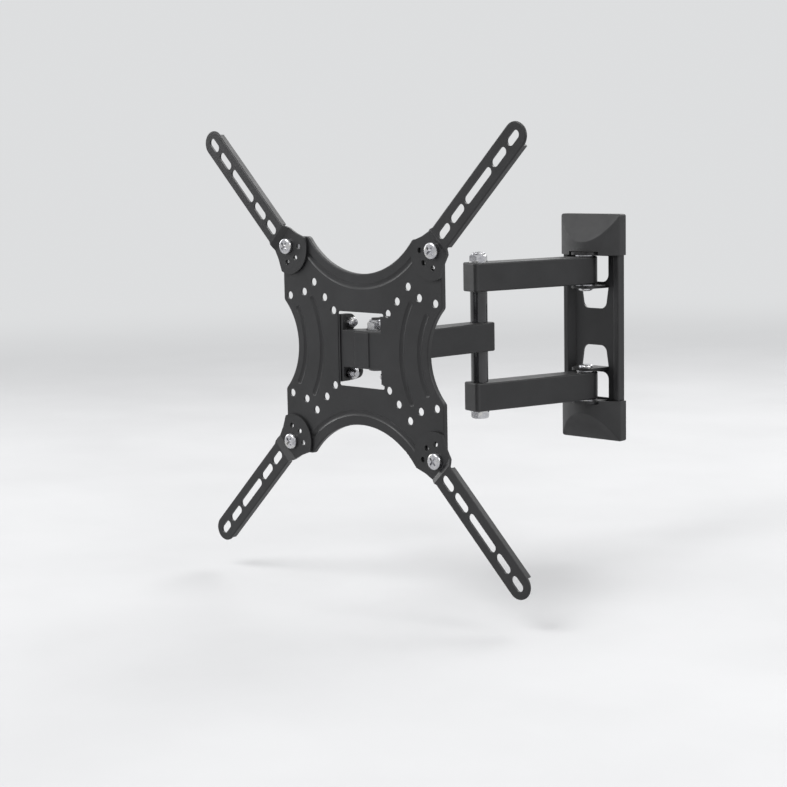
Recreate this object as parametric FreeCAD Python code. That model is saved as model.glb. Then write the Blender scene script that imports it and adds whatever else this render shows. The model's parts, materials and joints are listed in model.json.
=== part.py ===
import FreeCAD, Part
import math
import os

# A full motion TV wall mount. Millimetres. The frame: origin on the wall, on the centreline of the
# wall plate at its mid-height. +X right as seen from the room, +Y into the wall, +Z up.

# The folding arms
LINK = 140.0  # axis to axis, rear arm and front arm alike
HINGE_STANDOFF = 18.2  # wall to hinge axis
REAR_SWING = 14.5  # rear arms, degrees from straight out, towards -X
FRONT_SWING = 5.2  # front arm, degrees from straight out, towards -X
TUBE_W = 25.0
TUBE_H = 30.0
TUBE_WALL = 2.5
TUBE_EDGE = 2.0
TUBE_END = 148.0  # rounded pivot to the open end of the tube
CAP_END = 152.5  # rounded pivot to the outside of the end cap
REAR_Z = 47.5  # underside of the upper rear arm
PIN_R = 5.0
RUN_FIT = 0.05  # radial clearance of a turning joint
SAME_FIT = 0.1  # radial clearance of a bolt in a hole that doesn't turn
GAP = 0.3  # clearance between faces that slide past each other

# The wall plate
PLATE_HALF_H = 118.0
SHEET = 2.5
WEB_HALF = 26.0
RIM_IN = 31.0
RIM_OUT = 37.5
RIM_DEPTH = 10.0
WINDOW_HALF = 18.5
LUG_Z = (43.0, 79.0)
LUG_T = 3.0
LUG_TIP = 29.5
LUG_TIP_HALF = 13.0
SCREW_Z = 104.0
SCREW_R = 4.5

# The plastic covers
COVER_HALF = 40.0
COVER_SIDE = 9.5
COVER_DEPTH = 25.5
COVER_Z = (78.6, 122.5)
COVER_FACET_Z = 93.0
COVER_NOTCH = (19.6, 82.6)  # half width and height of the notch for the outer lug
COVER_WALL = 2.2

# The VESA plate: D is the depth behind its front face
AXIS_D = 23.0  # swivel axis
VESA_T = 2.0
VESA_RIM = 5.0
VESA_HALF_X = 109.0
VESA_HALF_Z = 110.0
SIDE_SCALLOP = (152.0, 62.5)
END_SCALLOP = (165.0, 90.2)
VESA_CORNER = 12.0
NUT_RELIEF = 9.2  # the rim is cut away round each arm pivot for its washer and nut
VESA_WINDOW = (31.5, 37.2)
VESA_HOLE_R = 4.0
VESA_HOLES = ((37.5, 37.5), (50.0, 50.0), (100.0, 50.0), (64.8, 64.8), (79.2, 54.5))
ARM_PIVOT = 100.0
INDEX_R = 2.7
INDEX_AT = 16.5
PLATE_INDEX_R = 3.4
PLATE_INDEX_AT = 14.2
GROOVE_DEPTH = 1.2
GROOVE_HALF = 3.0

# The swivel head and its tilt joint
EAR_IN = 29.3
EAR_OUT = 31.7
BRACKET_IN = 26.0
BRACKET_OUT = 29.0
FLANGE_Z = (15.8, 18.8)
TILT_D = 11.5
TILT_Z = 25.5
CLAMP_Z = -26.0
TILT_DOWN = 12.0
TILT_UP = 5.0
M6 = 3.0

# The extension arms, in their own frame: u along the arm, v across it, w towards the room
ARM_T = 2.2
ARM_FACE = 6.7
ARM_HALF = 13.0
ARM_TIP = 147.7
ARM_FLANGE = 7.0
ARM_SLOT_R = 4.3
ARM_SLOTS = ((18.0, 35.5), (39.0, 60.5), (64.0, 107.5), (111.0, 132.5), (137.0, 153.5))
SCREW_R8 = 4.0

X = FreeCAD.Vector(1, 0, 0)
Y = FreeCAD.Vector(0, 1, 0)
Z = FreeCAD.Vector(0, 0, 1)
V = FreeCAD.Vector


def box(x0, x1, y0, y1, z0, z1):
    return Part.makeBox(x1 - x0, y1 - y0, z1 - z0, V(x0, y0, z0))


def rod(radius, start, end):
    run = end - start
    return Part.makeCylinder(radius, run.Length, start, run)


def prism(points, run):
    wire = Part.makePolygon(points + [points[0]])
    return Part.Face(wire).extrude(run)


def fused(shapes):
    whole = shapes[0]
    for shape in shapes[1:]:
        whole = whole.fuse(shape)
    return whole.removeSplitter()


def rounded(shape, radius, wanted):
    edges = [edge for edge in shape.Edges if wanted(edge)]
    return shape.makeFillet(radius, edges)


def mirrored_z(shape):
    return shape.mirror(V(0, 0, 0), Z)


def mirrored_x(shape):
    return shape.mirror(V(0, 0, 0), X)


def export(name, shapes):
    Part.makeCompound(shapes).exportStep("parts/" + name + ".step")


def ring(outer, inner, start, end):
    run = (end - start).normalize()
    return rod(outer, start, end).cut(rod(inner, start - run, end + run))


def hex_prism(flats, start, end, flat_dir):
    # A six-sided prism from start to end with one pair of flats facing along flat_dir, its corners
    # chamfered at the far end.
    run = end - start
    across = V(run).normalize().cross(flat_dir)
    corner = flats / math.sqrt(3.0)
    points = []
    for i in range(6):
        a = math.radians(60 * i)
        points.append(start + across * (corner * math.cos(a)) + flat_dir * (corner * math.sin(a)))
    blank = rod(corner, start, end)
    far = [e for e in blank.Edges if (e.CenterOfMass - end).Length < 0.01]
    blank = blank.makeChamfer(corner - flats / 2.0 + 0.2, far)
    return prism(points, run).common(blank)


def nyloc_nut(flats, bore, start, end, flat_dir):
    # The hexagon takes three quarters of the height and the round nylon collar takes the rest.
    run = end - start
    shoulder = start + run * 0.74
    hexagon = hex_prism(flats, start, shoulder, flat_dir)
    collar = rod(flats * 0.43, shoulder - run * 0.05, end)
    rim = [e for e in collar.Edges if (e.CenterOfMass - end).Length < 0.01]
    collar = collar.makeFillet(0.8, rim)
    hole = rod(bore, start - run, end + run)
    return hexagon.fuse(collar).cut(hole)


def domed_head(radius, start, end, edge):
    head = rod(radius, start, end)
    rim = [e for e in head.Edges if (e.CenterOfMass - end).Length < 0.01]
    return head.makeFillet(edge, rim)


# The wall plate

def wall_section():
    right = [V(WEB_HALF, -SHEET, 0), V(RIM_IN, -RIM_DEPTH, 0), V(RIM_OUT, -RIM_DEPTH, 0), V(RIM_OUT, 0, 0)]
    back = [V(RIM_OUT - SHEET, 0, 0), V(RIM_OUT - SHEET, SHEET - RIM_DEPTH, 0)]
    back += [V(RIM_IN + 1.4, SHEET - RIM_DEPTH, 0), V(WEB_HALF + 1.4, 0, 0)]
    half = right + back
    other = [V(-p.x, p.y, 0) for p in reversed(half)]
    return half + other


def lug(z0):
    hole = rod(PIN_R + SAME_FIT, V(0, -HINGE_STANDOFF, z0 - 1), V(0, -HINGE_STANDOFF, z0 + LUG_T + 1))
    outline = [V(WINDOW_HALF, 0, z0), V(WINDOW_HALF, -8.0, z0), V(LUG_TIP_HALF, -LUG_TIP, z0)]
    outline += [V(-LUG_TIP_HALF, -LUG_TIP, z0), V(-WINDOW_HALF, -8.0, z0), V(-WINDOW_HALF, 0, z0)]
    tongue = prism(outline, V(0, 0, LUG_T))
    tongue = rounded(tongue, 8.0, lambda e: e.Length < LUG_T + 0.1 and e.CenterOfMass.y < -LUG_TIP + 0.5)
    return tongue.cut(hole)


def window(z0, z1, half0, half1, z_round):
    outline = [V(-half0, -20, z0), V(half0, -20, z0), V(half1, -20, z1), V(-half1, -20, z1)]
    cut = prism(outline, V(0, 30, 0))
    return rounded(cut, 8.0, lambda e: abs(e.CenterOfMass.z - z_round) < 0.1 and e.Length > 29)


def wall_plate():
    low = [V(p.x, p.y, -PLATE_HALF_H) for p in wall_section()]
    plate = prism(low, V(0, 0, 2 * PLATE_HALF_H))
    plate = rounded(plate, 1.6, lambda e: e.Length > 200 and e.CenterOfMass.y < -RIM_DEPTH + 0.1)
    inner = window(20.0, LUG_Z[0], 15.0, WINDOW_HALF, 20.0)
    outer = window(49.0, 77.0, WINDOW_HALF, WINDOW_HALF, 49.0)
    screw = rod(SCREW_R, V(0, -20, SCREW_Z), V(0, 10, SCREW_Z))
    for cutter in (inner, outer, screw):
        plate = plate.cut(cutter).cut(mirrored_z(cutter))
    lugs = [lug(z0) for z0 in LUG_Z]
    lugs += [mirrored_z(one) for one in lugs]
    return fused([plate] + lugs)


def cover_form(half, depth, side, z0, z1, facet_z):
    # The bulged block, cut by the sloping facet.
    corner_a = V(-half, -side, z0)
    corner_b = V(half, -side, z0)
    bulge = Part.Arc(corner_a, V(0, -depth, z0), corner_b).toShape()
    sides = [Part.makeLine(corner_b, V(half, 0, z0)), Part.makeLine(V(half, 0, z0), V(-half, 0, z0))]
    sides += [Part.makeLine(V(-half, 0, z0), corner_a)]
    block = Part.Face(Part.Wire([bulge] + sides)).extrude(V(0, 0, z1 - z0))
    facet = [V(-60, -side, z1), V(-60, -depth, facet_z), V(-60, -60, facet_z), V(-60, -60, z1 + 20)]
    facet += [V(-60, -side, z1 + 20)]
    return block.cut(prism(facet, V(120, 0, 0)))


def cover():
    shell = cover_form(COVER_HALF, COVER_DEPTH, COVER_SIDE, COVER_Z[0], COVER_Z[1], COVER_FACET_Z)
    shell = rounded(shell, 2.6, lambda e: e.CenterOfMass.y < -1.0 and e.CenterOfMass.z > COVER_Z[0] + 1)
    inside = cover_form(
        COVER_HALF - COVER_WALL,
        COVER_DEPTH - COVER_WALL,
        COVER_SIDE - COVER_WALL * 0.6,
        COVER_Z[0] - 1.0,
        COVER_Z[1] - COVER_WALL,
        COVER_FACET_Z - 1.4,
    )
    back = box(-COVER_HALF + COVER_WALL, COVER_HALF - COVER_WALL, -1, 5, COVER_Z[0] - 1, COVER_Z[1] - COVER_WALL)
    shell = shell.cut(inside).cut(back)
    seat = box(-RIM_OUT - GAP, RIM_OUT + GAP, -RIM_DEPTH - GAP, 5, COVER_Z[0] - 1, PLATE_HALF_H + GAP)
    shell = shell.cut(seat)
    notch = box(-COVER_NOTCH[0], COVER_NOTCH[0], -40, 5, COVER_Z[0] - 1, COVER_NOTCH[1])
    shell = shell.cut(notch)
    inner = COVER_HALF - COVER_WALL
    ribs = [box(RIM_OUT, inner + 0.3, -8.0, -1.0, z, z + 2.0) for z in (90.0, 108.0)]
    ribs += [mirrored_x(rib) for rib in ribs]
    return fused([shell] + ribs)


def hinge_pin():
    low = V(0, -HINGE_STANDOFF, LUG_Z[0])
    top = V(0, -HINGE_STANDOFF, LUG_Z[1] + LUG_T)
    shank = rod(PIN_R, low, top)
    head = domed_head(8.0, low, low - V(0, 0, 3.0), 2.4)
    return shank.fuse(head)


def hinge_washer(z0):
    centre = V(0, -HINGE_STANDOFF, z0)
    return ring(11.0, PIN_R + SAME_FIT, centre, centre + V(0, 0, 1.2))


export("wall_plate", [wall_plate()])
top_cover = cover()
export("cover_top", [top_cover])
export("cover_bottom", [mirrored_z(top_cover)])
pin = hinge_pin()
export("hinge_pins", [pin, mirrored_z(pin)])
upper_washers = [hinge_washer(LUG_Z[0] + LUG_T), hinge_washer(LUG_Z[1] - 1.2)]
export("hinge_washers", upper_washers + [mirrored_z(one) for one in upper_washers])


# The folding arms. Each is drawn along +X from its rounded end, then turned and carried into place.

HINGE = V(0, -HINGE_STANDOFF, 0)
rear = math.radians(REAR_SWING)
front = math.radians(FRONT_SWING)
ELBOW = HINGE + V(-math.sin(rear), -math.cos(rear), 0) * LINK
SWIVEL = ELBOW + V(-math.sin(front), -math.cos(front), 0) * LINK


def placed(shape, turn, origin):
    shape = shape.copy()
    shape.rotate(V(0, 0, 0), Z, turn)
    shape.translate(origin)
    return shape


def tube_outline(half, end, z0, height):
    arc = Part.Arc(V(0, half, z0), V(-half, 0, z0), V(0, -half, z0)).toShape()
    lines = [Part.makeLine(V(0, -half, z0), V(end, -half, z0)), Part.makeLine(V(end, -half, z0), V(end, half, z0))]
    lines += [Part.makeLine(V(end, half, z0), V(0, half, z0))]
    return Part.Face(Part.Wire([arc] + lines)).extrude(V(0, 0, height))


def arm_tube(z0, round_bore, square_bore):
    half = TUBE_W / 2.0
    tube = tube_outline(half, TUBE_END, z0, TUBE_H)
    along = lambda e: e.CenterOfMass.x < TUBE_END - 1 and abs(e.CenterOfMass.z - z0 - TUBE_H / 2) > TUBE_H / 2 - 0.1
    tube = rounded(tube, TUBE_EDGE, along)
    cavity = tube_outline(half - TUBE_WALL, TUBE_END + 5, z0 + TUBE_WALL, TUBE_H - 2 * TUBE_WALL)
    tube = tube.cut(cavity)
    for x, bore in ((0.0, round_bore), (LINK, square_bore)):
        tube = tube.cut(rod(bore, V(x, 0, z0 - 1), V(x, 0, z0 + TUBE_H + 1)))
    return tube


def end_cap(z0):
    half = TUBE_W / 2.0
    cap = box(TUBE_END, CAP_END, -half, half, z0, z0 + TUBE_H)
    cap = rounded(cap, 4.0, lambda e: e.Length > TUBE_H - 1 and e.CenterOfMass.x > CAP_END - 1)
    cap = rounded(cap, 1.5, lambda e: abs(e.CenterOfMass.z - z0 - TUBE_H / 2) > TUBE_H / 2 - 0.1
                  and e.CenterOfMass.x > TUBE_END + 0.5)
    inner = half - TUBE_WALL - 0.1
    plug = box(TUBE_END - 2.0, TUBE_END + 1, -inner, inner, z0 + TUBE_WALL + 0.1, z0 + TUBE_H - TUBE_WALL - 0.1)
    return cap.fuse(plug)


REAR_TURN = -90.0 - REAR_SWING
FRONT_TURN = 90.0 - FRONT_SWING
low_z = -REAR_Z - TUBE_H
rear_tube = lambda z0: placed(arm_tube(z0, PIN_R + RUN_FIT, PIN_R + SAME_FIT), REAR_TURN, HINGE)
export("upper_rear_arm", [rear_tube(REAR_Z)])
export("lower_rear_arm", [rear_tube(low_z)])
export("rear_arm_end_caps", [placed(end_cap(z0), REAR_TURN, HINGE) for z0 in (REAR_Z, low_z)])
front_tube = arm_tube(-TUBE_H / 2, PIN_R + RUN_FIT, PIN_R + RUN_FIT)
export("front_arm", [placed(front_tube, FRONT_TURN, SWIVEL)])
export("front_arm_end_cap", [placed(end_cap(-TUBE_H / 2), FRONT_TURN, SWIVEL)])


def elbow_at(z):
    return ELBOW + V(0, 0, z)


arm_top = REAR_Z + TUBE_H
shank = rod(PIN_R, elbow_at(-arm_top - 1.5), elbow_at(arm_top + 10.5))
bolt_head = hex_prism(17.0, elbow_at(-arm_top - 1.5), elbow_at(-arm_top - 8.0), Y)
export("elbow_bolt", [shank.fuse(bolt_head)])
elbow_washers = [ring(9.8, PIN_R + SAME_FIT, elbow_at(z), elbow_at(z + 1.5)) for z in (arm_top, -arm_top - 1.5)]
export("elbow_washers", elbow_washers)
export("elbow_nut", [nyloc_nut(17.0, PIN_R, elbow_at(arm_top + 1.5), elbow_at(arm_top + 10.0), Y)])
spacer = ring(9.1, PIN_R + SAME_FIT, elbow_at(TUBE_H / 2 + GAP), elbow_at(REAR_Z))
export("elbow_spacers", [spacer, mirrored_z(spacer)])


# The swivel head, drawn with the VESA plate centre at the origin, Y being the depth D, then carried out
# to the end of the front arm.

HEAD = SWIVEL - V(0, AXIS_D, 0)


def at_head(shape):
    shape = shape.copy()
    shape.translate(HEAD)
    return shape


def plate_x(points, x0, x1):
    return prism([V(x0, d, z) for d, z in points], V(x1 - x0, 0, 0))


def tilt_arc(x0, x1, width, low, high):
    # A band about the tilt axis, from the angle low to the angle high, with round ends.
    reach = TILT_Z - CLAMP_Z
    centre = V(x0, TILT_D, TILT_Z)
    strip = [V(x0, TILT_D, CLAMP_Z - width), V(x1, TILT_D, CLAMP_Z - width)]
    strip += [V(x1, TILT_D, CLAMP_Z + width), V(x0, TILT_D, CLAMP_Z + width)]
    face = Part.Face(Part.makePolygon(strip + [strip[0]]))
    face.rotate(centre, X, low)
    pieces = [face.revolve(centre, X, high - low)]
    for angle in (low, high):
        a = math.radians(angle)
        d = TILT_D + reach * math.sin(a)
        z = TILT_Z - reach * math.cos(a)
        pieces.append(rod(width, V(x0, d, z), V(x1, d, z)))
    return fused(pieces)


def bracket_side():
    strip = plate_x([(1.5, -31), (11.5, -31), (11.5, 34), (1.5, 34)], BRACKET_IN, BRACKET_OUT)
    lobe = rod(8.5, V(BRACKET_IN, TILT_D, TILT_Z), V(BRACKET_OUT, TILT_D, TILT_Z))
    foot = tilt_arc(BRACKET_IN, BRACKET_OUT, 6.6, 0.0, TILT_DOWN)
    web = plate_x([(1.5, -32.6), (14.0, -32.6), (22.0, -31.4), (22.0, -18.0), (1.5, -18.0)], BRACKET_IN, BRACKET_OUT)
    side = fused([strip, lobe, foot, web])
    bore = rod(M6 + SAME_FIT, V(0, TILT_D, TILT_Z), V(60, TILT_D, TILT_Z))
    slot = tilt_arc(BRACKET_IN - 1, BRACKET_OUT + 1, M6 + GAP, -TILT_UP, TILT_DOWN)
    return side.cut(bore).cut(slot)


def swivel_bracket():
    inner, outer = FLANGE_Z
    web = box(-BRACKET_IN - 1, BRACKET_IN + 1, 1.5, 4.5, -outer, outer)
    bead = box(-10.0, 10.0, 0.6, 2.0, -outer + 1.5, outer - 1.5)
    bead = rounded(bead, 0.8, lambda e: e.CenterOfMass.y < 0.7)
    flange = prism([V(-26.5, 1.5, inner), V(26.5, 1.5, inner), V(26.5, 9.0, inner), V(13.9, 21.5, inner),
                    V(-13.9, 21.5, inner), V(-26.5, 9.0, inner)], V(0, 0, outer - inner))
    tip = rod(14.0, V(0, AXIS_D, inner), V(0, AXIS_D, outer))
    side = bracket_side()
    parts = [web, bead, flange, tip, mirrored_z(flange), mirrored_z(tip), side, mirrored_x(side)]
    whole = fused(parts)
    bolt = rod(PIN_R + SAME_FIT, V(0, AXIS_D, -30), V(0, AXIS_D, 30))
    whole = whole.cut(bolt)
    corner = lambda e: abs(e.CenterOfMass.x) < 0.5 and e.Length > 40 and e.CenterOfMass.y < 1.6
    return rounded(whole, 1.4, corner)


def cross_bolt(reach, head_x):
    # A pan-headed bolt along X, its head outside at head_x.
    shank_part = rod(M6, V(reach, 0, 0), V(head_x + 0.5, 0, 0))
    head = domed_head(6.0, V(head_x, 0, 0), V(head_x + 3.8, 0, 0), 1.6)
    slot = box(head_x + 2.2, head_x + 5, -0.8, 0.8, -3.4, 3.4)
    cross = box(head_x + 2.2, head_x + 5, -3.4, 3.4, -0.8, 0.8)
    return shank_part.fuse(head).cut(slot.fuse(cross))


def moved(shape, d, z):
    shape = shape.copy()
    shape.translate(V(0, d, z))
    return shape


export("swivel_bracket", [at_head(swivel_bracket())])
flange_out = FLANGE_Z[1]
swivel_z = lambda z: V(0, AXIS_D, z)
bolt_shank = rod(PIN_R, swivel_z(-flange_out), swivel_z(flange_out + 11.4))
head_low = domed_head(9.5, swivel_z(-flange_out), swivel_z(-flange_out - 3.4), 2.6)
export("swivel_bolt", [at_head(bolt_shank.fuse(head_low))])
steel = ring(10.4, PIN_R + SAME_FIT, swivel_z(flange_out), swivel_z(flange_out + 1.2))
export("swivel_washer", [at_head(steel)])
nut = nyloc_nut(17.0, PIN_R, swivel_z(flange_out + 1.2), swivel_z(flange_out + 9.8), Y)
export("swivel_nut", [at_head(nut)])
friction = ring(12.0, PIN_R + SAME_FIT, swivel_z(FLANGE_Z[0] - 0.5), swivel_z(FLANGE_Z[0]))
export("swivel_friction_washers", [at_head(friction), at_head(mirrored_z(friction))])

pivot_bolt = moved(cross_bolt(17.6, EAR_OUT + GAP), TILT_D, TILT_Z)
export("tilt_pivot_bolts", [at_head(pivot_bolt), at_head(mirrored_x(pivot_bolt))])
pivot_nut = nyloc_nut(10.0, M6, V(BRACKET_IN, TILT_D, TILT_Z), V(BRACKET_IN - 7.0, TILT_D, TILT_Z), Z)
export("tilt_pivot_nuts", [at_head(pivot_nut), at_head(mirrored_x(pivot_nut))])
clamp_bolt = moved(cross_bolt(17.3, EAR_OUT), TILT_D, CLAMP_Z)
export("tilt_clamp_bolts", [at_head(clamp_bolt), at_head(mirrored_x(clamp_bolt))])
clamp_nut_in = BRACKET_IN - GAP
clamp_nut = nyloc_nut(10.0, M6, V(clamp_nut_in, TILT_D, CLAMP_Z), V(clamp_nut_in - 7.0, TILT_D, CLAMP_Z), Z)
export("tilt_clamp_nuts", [at_head(clamp_nut), at_head(mirrored_x(clamp_nut))])


# The VESA plate

def groove(centre, radius, mid_angle, half_angle, minor, y):
    # A round-ended bead of circular section, swept about an axis through centre along Y.
    start = math.radians(mid_angle - half_angle)
    finish = math.radians(mid_angle + half_angle)
    point = centre + V(radius * math.cos(start), y, radius * math.sin(start))
    across = V(-math.sin(start), 0, math.cos(start))
    section = Part.Face(Part.Wire(Part.makeCircle(minor, point, across)))
    sweep = section.revolve(centre, Y, -2 * half_angle)
    last = centre + V(radius * math.cos(finish), y, radius * math.sin(finish))
    return [sweep, Part.makeSphere(minor, point), Part.makeSphere(minor, last)]


def groove_list():
    top = (V(0, 0, END_SCALLOP[0]), 102.5, -90.0, 44.0)
    bottom = (V(0, 0, -END_SCALLOP[0]), 102.5, 90.0, 44.0)
    sides = []
    for radius, half in ((73.5, 30.5), (97.0, 29.5)):
        sides.append((V(SIDE_SCALLOP[0], 0, 0), radius, 180.0, half))
        sides.append((V(-SIDE_SCALLOP[0], 0, 0), radius, 0.0, half))
    return [top, bottom] + sides


def outline_block(y0, y1):
    block = box(-VESA_HALF_X, VESA_HALF_X, y0, y1, -VESA_HALF_Z, VESA_HALF_Z)
    block = rounded(block, VESA_CORNER, lambda e: abs(e.CenterOfMass.x) > 100 and abs(e.CenterOfMass.z) > 100)
    for sign in (1, -1):
        side_x, side_r = SIDE_SCALLOP
        end_z, end_r = END_SCALLOP
        block = block.cut(rod(side_r, V(sign * side_x, y0 - 1, 0), V(sign * side_x, y1 + 1, 0)))
        block = block.cut(rod(end_r, V(0, y0 - 1, sign * end_z), V(0, y1 + 1, sign * end_z)))
    sharp = lambda e: abs(e.CenterOfMass.y - (y0 + y1) / 2) < 0.01 and e.Length < y1 - y0 + 0.01
    near_side = lambda e: abs(abs(e.CenterOfMass.x) - VESA_HALF_X) < 0.01 and abs(e.CenterOfMass.z) < 60
    near_end = lambda e: abs(abs(e.CenterOfMass.z) - VESA_HALF_Z) < 0.01 and abs(e.CenterOfMass.x) < 80
    return rounded(block, 5.0, lambda e: sharp(e) and (near_side(e) or near_end(e)))


def ear():
    strip = plate_x([(0.4, -33.5), (9.0, -33.5), (9.0, 34.0), (0.4, 34.0)], EAR_IN, EAR_OUT)
    upper = plate_x([(0.4, 17.0), (TILT_D, 17.0), (TILT_D, 34.0), (0.4, 34.0)], EAR_IN, EAR_OUT)
    lower = plate_x([(0.4, -33.5), (TILT_D, -33.5), (TILT_D, -18.5), (0.4, -18.5)], EAR_IN, EAR_OUT)
    lobe = rod(8.5, V(EAR_IN, TILT_D, TILT_Z), V(EAR_OUT, TILT_D, TILT_Z))
    foot = rod(7.5, V(EAR_IN, TILT_D, CLAMP_Z), V(EAR_OUT, TILT_D, CLAMP_Z))
    whole = fused([strip, upper, lower, lobe, foot])
    pivot = rod(M6 + RUN_FIT, V(0, TILT_D, TILT_Z), V(60, TILT_D, TILT_Z))
    clamp = rod(M6 + SAME_FIT, V(0, TILT_D, CLAMP_Z), V(60, TILT_D, CLAMP_Z))
    return whole.cut(pivot).cut(clamp)


def vesa_plate():
    sheet = outline_block(0, VESA_T)
    front_face = [f for f in sheet.Faces if abs(f.CenterOfMass.y - VESA_T) < 0.01 and f.Area > 5000][0]
    inner = Part.Face(front_face.OuterWire).makeOffset2D(-VESA_T)
    rim_block = outline_block(VESA_T - 0.5, VESA_RIM)
    inner.translate(V(0, -1.0, 0))
    hollow = inner.extrude(V(0, 8.0, 0))
    rim = rim_block.cut(hollow)
    outer_edge = lambda e: e.CenterOfMass.y < 0.01
    sheet = rounded(sheet, 1.2, outer_edge)
    half_x, half_z = VESA_WINDOW
    opening = box(-half_x, half_x, -5, 20, -half_z, half_z)
    opening = rounded(opening, 2.0, lambda e: e.Length > 24 and abs(abs(e.CenterOfMass.x) - half_x) < 0.01)
    minor = (GROOVE_HALF ** 2 + GROOVE_DEPTH ** 2) / (2 * GROOVE_DEPTH)
    behind = box(-150, 150, 1.0, 10, -150, 150)
    ridges = []
    cuts = []
    for centre, radius, mid, half in groove_list():
        for piece in groove(centre, radius, mid, half, minor + 1.6, GROOVE_DEPTH - minor):
            ridges.append(piece.common(behind))
        cuts += groove(centre, radius, mid, half, minor, GROOVE_DEPTH - minor)
    plate = fused([sheet, rim] + ridges)
    plate = plate.cut(cuts).cut(opening)
    plate = fused([plate, ear(), mirrored_x(ear())])
    holes = []
    for sx in (1, -1):
        for sz in (1, -1):
            for x, z in VESA_HOLES:
                holes.append(rod(VESA_HOLE_R, V(sx * x, -5, sz * z), V(sx * x, 15, sz * z)))
            at = V(sx * ARM_PIVOT, -5, sz * ARM_PIVOT)
            holes.append(rod(SCREW_R8 + SAME_FIT, at, at + V(0, 20, 0)))
            holes.append(rod(NUT_RELIEF, at + V(0, 5 + VESA_T, 0), at + V(0, 20, 0)))
            inward = math.degrees(math.atan2(-sz, -sx))
            for turn in (-45, 0, 45):
                a = math.radians(inward + turn)
                index = at + V(math.cos(a), 0, math.sin(a)) * PLATE_INDEX_AT
                holes.append(rod(PLATE_INDEX_R, index, index + V(0, 20, 0)))
    return plate.cut(holes)


export("vesa_plate", [at_head(vesa_plate())])


# The extension arms and their pivot screws

def arm_plan(w0, w1):
    # The outline from above: a round root that narrows to the straight arm with its round tip.
    at = lambda u, v: V(u, v, w0)
    root = Part.Arc(at(-12.0, 24.5), at(-29.0, 0), at(-12.0, -24.5)).toShape()
    tip = Part.Arc(at(ARM_TIP, -ARM_HALF), at(ARM_TIP + ARM_HALF, 0), at(ARM_TIP, ARM_HALF)).toShape()
    left = [(-12.0, -24.5), (0.0, -18.8), (13.0, -15.0), (17.0, -ARM_HALF), (ARM_TIP, -ARM_HALF)]
    edges = [root]
    for (u0, v0), (u1, v1) in zip(left, left[1:]):
        edges.append(Part.makeLine(at(u0, v0), at(u1, v1)))
    edges.append(tip)
    right = [(u, -v) for u, v in reversed(left)]
    for (u0, v0), (u1, v1) in zip(right, right[1:]):
        edges.append(Part.makeLine(at(u0, v0), at(u1, v1)))
    return Part.Face(Part.Wire(edges)).extrude(V(0, 0, w1 - w0))


def slot_cut(u0, u1):
    low = V(u0 + ARM_SLOT_R, 0, -5)
    high = V(u1 - ARM_SLOT_R, 0, -5)
    middle = box(low.x, high.x, -ARM_SLOT_R, ARM_SLOT_R, -5, 15)
    return fused([middle, rod(ARM_SLOT_R, low, low + V(0, 0, 20)), rod(ARM_SLOT_R, high, high + V(0, 0, 20))])


def extension_arm():
    low = GAP
    side = [V(-40, -40, low), V(10.5, -40, low), V(16.5, -40, ARM_FACE - ARM_T), V(170, -40, ARM_FACE - ARM_T)]
    side += [V(170, -40, ARM_FACE), V(15.5, -40, ARM_FACE), V(9.5, -40, low + ARM_T), V(-40, -40, low + ARM_T)]
    sheet = prism(side, V(0, 80, 0)).common(arm_plan(-5, 15))
    flange = box(18.0, ARM_TIP, ARM_HALF - 2.0, ARM_HALF, ARM_FACE - ARM_FLANGE, ARM_FACE)
    other = flange.mirror(V(0, 0, 0), Y)
    arm = fused([sheet, flange, other])
    long_edge = lambda e: e.Length > 100 and abs(abs(e.CenterOfMass.y) - ARM_HALF) < 0.01 \
        and e.CenterOfMass.z > ARM_FACE - 0.1
    arm = rounded(arm, 1.3, long_edge)
    cutters = [slot_cut(u0, u1) for u0, u1 in ARM_SLOTS]
    cutters.append(rod(SCREW_R8 + RUN_FIT, V(0, 0, -5), V(0, 0, 15)))
    for angle in (135, 180, 225):
        a = math.radians(angle)
        at = V(INDEX_AT * math.cos(a), INDEX_AT * math.sin(a), -5)
        cutters.append(rod(INDEX_R, at, at + V(0, 0, 20)))
    return arm.cut(cutters)


def on_plate(shape, angle, x, z):
    # Carries the arm's own frame (u, v, w) to the plate: w towards the room, u at the angle above +X.
    shape = shape.copy()
    shape.rotate(V(0, 0, 0), X, 90)
    shape.rotate(V(0, 0, 0), Y, -angle)
    shape.translate(HEAD + V(x, 0, z))
    return shape


CORNERS = {"tr": (1, 1, 45), "tl": (-1, 1, 135), "bl": (-1, -1, 225), "br": (1, -1, 315)}
arm = extension_arm()
for name, (sx, sz, angle) in CORNERS.items():
    export("extension_arm_" + name, [on_plate(arm, angle, sx * ARM_PIVOT, sz * ARM_PIVOT)])


def pivot_screw():
    # Drawn along Z from behind the plate towards the room.
    seat = GAP + ARM_T + GAP
    shank_part = rod(SCREW_R8, V(0, 0, -11.5), V(0, 0, seat + 1))
    head = domed_head(8.2, V(0, 0, seat), V(0, 0, seat + 4.2), 2.6)
    slot = box(-4.6, 4.6, -1.0, 1.0, seat + 2.2, seat + 6)
    cross = box(-1.0, 1.0, -4.6, 4.6, seat + 2.2, seat + 6)
    return shank_part.fuse(head).cut(slot.fuse(cross))


def at_corners(shape):
    return [on_plate(shape, a, sx * ARM_PIVOT, sz * ARM_PIVOT) for sx, sz, a in CORNERS.values()]


export("arm_pivot_screws", at_corners(pivot_screw()))
plain_washer = ring(8.0, SCREW_R8 + SAME_FIT, V(0, 0, -VESA_T), V(0, 0, -VESA_T - 1.4))
export("arm_pivot_washers", at_corners(plain_washer))
pivot_hex = nyloc_nut(13.0, SCREW_R8, V(0, 0, -VESA_T - 1.4), V(0, 0, -VESA_T - 9.0), Y)
export("arm_pivot_nuts", at_corners(pivot_hex))
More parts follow.
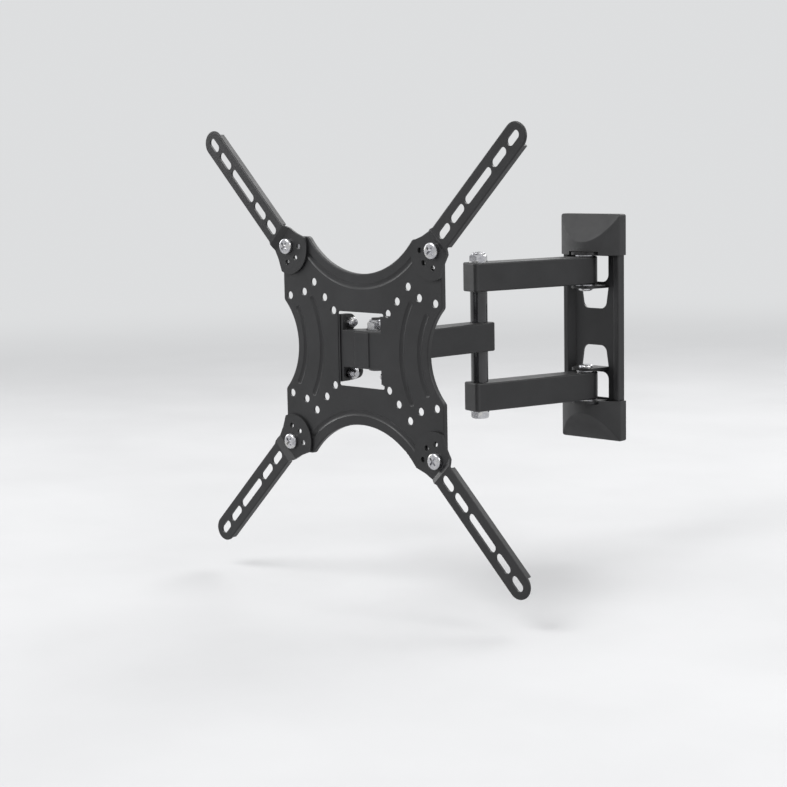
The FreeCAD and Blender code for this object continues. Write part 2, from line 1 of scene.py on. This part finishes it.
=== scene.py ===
import json
import math
import bpy
from mathutils import Matrix, Vector


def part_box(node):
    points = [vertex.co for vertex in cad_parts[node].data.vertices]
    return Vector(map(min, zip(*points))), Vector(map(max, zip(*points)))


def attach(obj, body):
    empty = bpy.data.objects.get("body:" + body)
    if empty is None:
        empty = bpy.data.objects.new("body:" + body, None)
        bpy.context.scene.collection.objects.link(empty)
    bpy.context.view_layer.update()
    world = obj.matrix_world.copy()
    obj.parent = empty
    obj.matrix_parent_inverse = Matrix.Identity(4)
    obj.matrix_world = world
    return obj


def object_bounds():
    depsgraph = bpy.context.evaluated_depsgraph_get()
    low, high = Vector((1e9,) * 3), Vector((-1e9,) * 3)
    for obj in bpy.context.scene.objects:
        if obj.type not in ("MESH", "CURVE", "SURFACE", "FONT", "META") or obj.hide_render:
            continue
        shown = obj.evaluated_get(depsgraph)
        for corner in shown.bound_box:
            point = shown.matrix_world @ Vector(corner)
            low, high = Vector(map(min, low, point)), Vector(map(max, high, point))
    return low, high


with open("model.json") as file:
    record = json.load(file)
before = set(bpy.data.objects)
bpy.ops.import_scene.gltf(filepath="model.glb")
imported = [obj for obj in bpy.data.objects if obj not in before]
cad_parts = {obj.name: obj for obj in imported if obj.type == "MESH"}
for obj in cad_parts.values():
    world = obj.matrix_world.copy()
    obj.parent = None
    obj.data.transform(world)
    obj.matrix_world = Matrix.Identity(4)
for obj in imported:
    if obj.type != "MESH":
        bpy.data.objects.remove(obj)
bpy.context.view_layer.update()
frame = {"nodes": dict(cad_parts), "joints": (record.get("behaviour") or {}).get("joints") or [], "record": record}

# The camera: where it stands in the row frame (metres), its axes and its lens, from a fit of the
# finished CAD to the holes, bolts and edges seen.
CAMERA_AT = Vector((1.18549504, -1.55012842, 0.19097923))
CAMERA_RIGHT = Vector((0.72152159, 0.69213688, -0.01879195))
CAMERA_UP = Vector((-0.07886192, 0.10911345, 0.99089609))
LENS = 81.6476
SENSOR = 36.0

# Threads, in metres
FLANK = 0.36  # half the width of a thread's foot, in pitches
CREST_RISE = 0.00028
FOOT_SINK = 0.0001
STEPS_PER_TURN = 28
FADE_STEPS = 10.0  # steps over which a thread rises at its ends
TIP_GAP = 0.0002  # left free at a bolt's tip
PIN_THREAD = (0.005, 0.0012)  # radius and pitch on the elbow and swivel bolts
SCREW_THREAD = (0.004, 0.001)

# The studio
BACKDROP = (0.93, 0.94, 0.95)
BACKDROP_STRENGTH = 0.78
FLOOR_RADIUS = 14
FLOOR_SIDES = 96
FLOOR_DROP = 0.03  # below the lowest point of the mount
FADE_START = 0.7
FADE_END = 3.6
LIGHT_DISTANCE = 6  # in reaches of the mount
LIGHTS = {  # azimuth and elevation in degrees, diameter in metres, watts
    "key": (-15, 48, 1.2, 26),
    "side": (95, 30, 1.1, 20),
    "left": (-75, 15, 1.0, 12),
    "behind": (190, 40, 1.4, 22),
}


# Materials

class Tree:
    """A node material built up by name."""

    def __init__(self, name):
        self.material = bpy.data.materials.new(name)
        self.material.use_nodes = True
        self.nodes = self.material.node_tree.nodes
        self.links = self.material.node_tree.links
        self.nodes.clear()
        self.out = self.nodes.new("ShaderNodeOutputMaterial")
        self.shader = self.nodes.new("ShaderNodeBsdfPrincipled")
        self.links.new(self.shader.outputs["BSDF"], self.out.inputs["Surface"])
        self.place = self.nodes.new("ShaderNodeTexCoord").outputs["Object"]

    def stretched(self, scale):
        mapping = self.nodes.new("ShaderNodeMapping")
        mapping.inputs["Scale"].default_value = scale
        self.links.new(self.place, mapping.inputs["Vector"])
        return mapping.outputs["Vector"]

    def noise(self, scale, detail=3.0, roughness=0.5, vector=None):
        node = self.nodes.new("ShaderNodeTexNoise")
        node.inputs["Scale"].default_value = scale
        node.inputs["Detail"].default_value = detail
        node.inputs["Roughness"].default_value = roughness
        self.links.new(vector or self.place, node.inputs["Vector"])
        return node.outputs["Fac"]

    def cells(self, scale):
        node = self.nodes.new("ShaderNodeTexVoronoi")
        node.inputs["Scale"].default_value = scale
        self.links.new(self.place, node.inputs["Vector"])
        return node.outputs["Distance"]

    def ramp(self, value, stops):
        node = self.nodes.new("ShaderNodeValToRGB")
        elements = node.color_ramp.elements
        elements[0].position, elements[0].color = stops[0][0], (*stops[0][1], 1.0)
        elements[1].position, elements[1].color = stops[-1][0], (*stops[-1][1], 1.0)
        for position, colour in stops[1:-1]:
            elements.new(position).color = (*colour, 1.0)
        self.links.new(value, node.inputs["Fac"])
        return node.outputs["Color"]

    def span(self, value, low, high):
        node = self.nodes.new("ShaderNodeMapRange")
        node.inputs["From Min"].default_value = 0.3
        node.inputs["From Max"].default_value = 0.7
        node.inputs["To Min"].default_value = low
        node.inputs["To Max"].default_value = high
        self.links.new(value, node.inputs["Value"])
        return node.outputs["Result"]

    def mixed(self, share, a, b):
        node = self.nodes.new("ShaderNodeMix")
        node.data_type = "RGBA"
        self.links.new(share, node.inputs[0])
        self.links.new(a, node.inputs[6])
        node.inputs[7].default_value = (*b, 1.0)
        return node.outputs[2]

    def upward(self, low, high, most):
        # A share that grows on surfaces that face up.
        geometry = self.nodes.new("ShaderNodeNewGeometry")
        split = self.nodes.new("ShaderNodeSeparateXYZ")
        self.links.new(geometry.outputs["Normal"], split.inputs["Vector"])
        node = self.nodes.new("ShaderNodeMapRange")
        node.inputs["From Min"].default_value = low
        node.inputs["From Max"].default_value = high
        node.inputs["To Max"].default_value = most
        self.links.new(split.outputs["Z"], node.inputs["Value"])
        return node.outputs["Result"]

    def bump(self, height, strength, distance, under=None):
        node = self.nodes.new("ShaderNodeBump")
        node.inputs["Strength"].default_value = strength
        node.inputs["Distance"].default_value = distance
        self.links.new(height, node.inputs["Height"])
        if under is not None:
            self.links.new(under, node.inputs["Normal"])
        return node.outputs["Normal"]

    def set(self, **values):
        names = {"color": "Base Color", "roughness": "Roughness", "normal": "Normal", "metallic": "Metallic",
                 "specular": "Specular IOR Level", "coat": "Coat Weight", "coat_roughness": "Coat Roughness"}
        for key, value in values.items():
            socket = self.shader.inputs[names[key]]
            if isinstance(value, (int, float)):
                socket.default_value = value
            else:
                self.links.new(value, socket)
        return self.material


def powder_coat():
    tree = Tree("black_powder_coat")
    shades = [(0.3, (0.007, 0.007, 0.0075)), (0.7, (0.013, 0.013, 0.014))]
    tone = tree.ramp(tree.noise(26.0, 5.0, 0.6), shades)
    speck = tree.ramp(tree.noise(2600.0, 1.0), [(0.62, (0.0, 0.0, 0.0)), (0.74, (0.35, 0.35, 0.35))])
    tone = tree.mixed(speck, tone, (0.035, 0.035, 0.037))
    tone = tree.mixed(tree.upward(0.55, 1.0, 0.06), tone, (0.14, 0.135, 0.13))
    rough = tree.span(tree.noise(55.0, 4.0, 0.6), 0.36, 0.47)
    skin = tree.bump(tree.noise(1500.0, 2.0), 0.30, 0.00012)
    skin = tree.bump(tree.noise(210.0, 2.0), 0.18, 0.0003, skin)
    return tree.set(color=tone, roughness=rough, normal=skin, specular=0.42)


def moulded(name, dark, light, smooth, rough, grain, depth):
    tree = Tree(name)
    tone = tree.ramp(tree.noise(34.0, 4.0), [(0.3, dark), (0.7, light)])
    tone = tree.mixed(tree.upward(0.4, 1.0, 0.06), tone, (0.16, 0.155, 0.15))
    wear = tree.span(tree.noise(80.0, 4.0), smooth, rough)
    skin = tree.bump(tree.cells(grain), 0.35, depth)
    return tree.set(color=tone, roughness=wear, normal=skin, specular=0.45)


def gloss_sleeve():
    tree = Tree("gloss_sleeve")
    shades = [(0.3, (0.010, 0.010, 0.011)), (0.7, (0.020, 0.020, 0.022))]
    tone = tree.ramp(tree.noise(60.0, 4.0), shades)
    rough = tree.span(tree.noise(30.0, 5.0, 0.7, tree.stretched((14.0, 14.0, 1.0))), 0.10, 0.22)
    skin = tree.bump(tree.noise(120.0, 3.0, 0.5, tree.stretched((6.0, 6.0, 1.0))), 0.10, 0.0002)
    return tree.set(color=tone, roughness=rough, normal=skin, coat=0.5, coat_roughness=0.08)


def zinc_plate():
    tree = Tree("zinc_plate")
    stops = [(0.25, (0.36, 0.36, 0.38)), (0.5, (0.50, 0.50, 0.52)), (0.75, (0.60, 0.59, 0.56))]
    tone = tree.ramp(tree.noise(160.0, 5.0, 0.6), stops)
    rough = tree.span(tree.noise(420.0, 4.0, 0.6), 0.20, 0.36)
    skin = tree.bump(tree.noise(900.0, 3.0, 0.6, tree.stretched((1.0, 1.0, 5.0))), 0.12, 0.0002)
    return tree.set(color=tone, roughness=rough, normal=skin, metallic=1.0)


COVER_SHADES = ((0.012, 0.012, 0.0125), (0.020, 0.020, 0.021))
CAP_SHADES = ((0.010, 0.010, 0.0105), (0.017, 0.017, 0.018))
NYLON_SHADES = ((0.030, 0.030, 0.030), (0.046, 0.046, 0.046))
FINISHES = {
    "black_steel": powder_coat(),
    "cover_plastic": moulded("cover_grain", *COVER_SHADES, 0.48, 0.60, 1500.0, 0.00016),
    "cap_plastic": moulded("cap_grain", *CAP_SHADES, 0.44, 0.54, 1900.0, 0.0001),
    "gloss_spacer": gloss_sleeve(),
    "nylon": moulded("nylon_grain", *NYLON_SHADES, 0.40, 0.55, 2100.0, 0.0001),
    "zinc": zinc_plate(),
}
SLOT_OF = {part["node"]: part["material_slot"] for part in frame["record"]["subparts"]}
for node, obj in frame["nodes"].items():
    for material_slot in obj.material_slots:
        material_slot.material = FINISHES[SLOT_OF[node]]


# Screw threads on the bolt ends that show. Each is a fine ridge wound on the shank.

def thread(name, body, bolt, axis_point, direction, start, end, size):
    radius, pitch = size
    direction = Vector(direction).normalized()
    side = direction.orthogonal().normalized()
    other = direction.cross(side)
    turns = abs(end - start) / pitch
    steps = int(turns * STEPS_PER_TURN)
    foot = radius - FOOT_SINK
    verts = []
    for i in range(steps + 1):
        angle = 2 * math.pi * turns * i / steps
        out = side * math.cos(angle) + other * math.sin(angle)
        along = start + (end - start) * i / steps
        fade = min(1.0, i / FADE_STEPS, (steps - i) / FADE_STEPS)
        crest = radius + CREST_RISE * fade
        base = Vector(axis_point) + direction * along
        verts.append(base - direction * pitch * FLANK + out * foot)
        verts.append(base + out * crest)
        verts.append(base + direction * pitch * FLANK + out * foot)
    faces = []
    for i in range(steps):
        a = 3 * i
        faces.append((a, a + 1, a + 4, a + 3))
        faces.append((a + 1, a + 2, a + 5, a + 4))
        faces.append((a + 2, a, a + 3, a + 5))
    faces.append((0, 2, 1))
    last = 3 * steps
    faces.append((last, last + 1, last + 2))
    mesh = bpy.data.meshes.new(name)
    mesh.from_pydata([tuple(v) for v in verts], [], faces)
    obj = bpy.data.objects.new(name, mesh)
    bpy.context.scene.collection.objects.link(obj)
    mesh.materials.append(FINISHES[SLOT_OF[bolt]])
    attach(obj, body)


JOINTS = {joint["name"]: Vector(joint["pos_m"]) for joint in frame["joints"]}


def upright_thread(name, body, joint, nut, bolt):
    axis = Vector((JOINTS[joint].x, JOINTS[joint].y, 0))
    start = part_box(nut)[1].z
    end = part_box(bolt)[1].z - TIP_GAP
    thread(name, body, bolt, axis, (0, 0, 1), start, end, PIN_THREAD)


upright_thread("elbow_thread", "rear_arms", "elbow", "elbow_nut", "elbow_bolt")
upright_thread("swivel_thread", "swivel_head", "head_swivel", "swivel_nut", "swivel_bolt")
back_of_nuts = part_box("arm_pivot_nuts")[1].y
back_of_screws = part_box("arm_pivot_screws")[1].y - TIP_GAP
for corner in ("tl", "tr", "bl", "br"):
    pivot = JOINTS["arm_pivot_" + corner]
    axis = Vector((pivot.x, 0, pivot.z))
    name = "pivot_thread_" + corner
    thread(name, "vesa_plate", "arm_pivot_screws", axis, (0, 1, 0), back_of_nuts, back_of_screws,
           SCREW_THREAD)


# The floor, the light and the camera

low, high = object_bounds()
middle = (low + high) / 2
reach = (high - low).length / 2


def fade_out(tree):
    # Far from the object the floor takes the shade of the backdrop, so no horizon shows.
    length = tree.nodes.new("ShaderNodeVectorMath")
    length.operation = "LENGTH"
    tree.links.new(tree.place, length.inputs[0])
    share = tree.nodes.new("ShaderNodeMapRange")
    share.interpolation_type = "SMOOTHERSTEP"
    share.inputs["From Min"].default_value = FADE_START
    share.inputs["From Max"].default_value = FADE_END
    tree.links.new(length.outputs["Value"], share.inputs["Value"])
    glow = tree.nodes.new("ShaderNodeEmission")
    glow.inputs["Color"].default_value = (*BACKDROP, 1.0)
    glow.inputs["Strength"].default_value = BACKDROP_STRENGTH
    mix = tree.nodes.new("ShaderNodeMixShader")
    tree.links.new(share.outputs["Result"], mix.inputs[0])
    tree.links.new(tree.shader.outputs["BSDF"], mix.inputs[1])
    tree.links.new(glow.outputs["Emission"], mix.inputs[2])
    tree.links.new(mix.outputs["Shader"], tree.out.inputs["Surface"])


def floor():
    rim = []
    for i in range(FLOOR_SIDES):
        a = 2 * math.pi * i / FLOOR_SIDES
        rim.append((math.cos(a) * FLOOR_RADIUS, math.sin(a) * FLOOR_RADIUS, low.z - FLOOR_DROP))
    mesh = bpy.data.meshes.new("floor")
    mesh.from_pydata(rim, [], [tuple(range(FLOOR_SIDES))])
    obj = bpy.data.objects.new("floor", mesh)
    bpy.context.scene.collection.objects.link(obj)
    tree = Tree("pale_floor")
    tone = tree.ramp(tree.noise(5.0, 4.0), [(0.3, (0.50, 0.50, 0.505)), (0.7, (0.53, 0.53, 0.535))])
    rough = tree.span(tree.noise(9.0, 3.0), 0.70, 0.80)
    skin = tree.bump(tree.noise(160.0), 0.05, 0.0005)
    mesh.materials.append(tree.set(color=tone, roughness=rough, normal=skin))
    fade_out(tree)


def soft_light(name, azimuth, elevation, size, watts):
    a, e = math.radians(azimuth), math.radians(elevation)
    back = Vector((math.sin(a) * math.cos(e), -math.cos(a) * math.cos(e), math.sin(e)))
    data = bpy.data.lights.new(name, "AREA")
    data.shape = "DISK"
    data.size = size
    data.energy = watts
    obj = bpy.data.objects.new(name, data)
    obj.location = middle + back * reach * LIGHT_DISTANCE
    obj.rotation_mode = "QUATERNION"
    obj.rotation_quaternion = (-back).to_track_quat("-Z", "Y")
    obj.visible_camera = False
    bpy.context.scene.collection.objects.link(obj)


floor()
for name, (azimuth, elevation, size, watts) in LIGHTS.items():
    soft_light(name, azimuth, elevation, size, watts)
world = bpy.data.worlds.new("studio")
world.use_nodes = True
background = world.node_tree.nodes["Background"]
background.inputs["Color"].default_value = (*BACKDROP, 1.0)
background.inputs["Strength"].default_value = BACKDROP_STRENGTH
bpy.context.scene.world = world
bpy.context.scene.view_settings.view_transform = "Standard"

lens = bpy.data.cameras.new("camera")
lens.lens = LENS
lens.sensor_width = SENSOR
camera = bpy.data.objects.new("camera", lens)
away = CAMERA_RIGHT.cross(CAMERA_UP)
turn = Matrix((CAMERA_RIGHT, CAMERA_UP, away)).transposed().to_4x4()
camera.matrix_world = Matrix.Translation(CAMERA_AT) @ turn
bpy.context.scene.collection.objects.link(camera)
bpy.context.scene.camera = camera
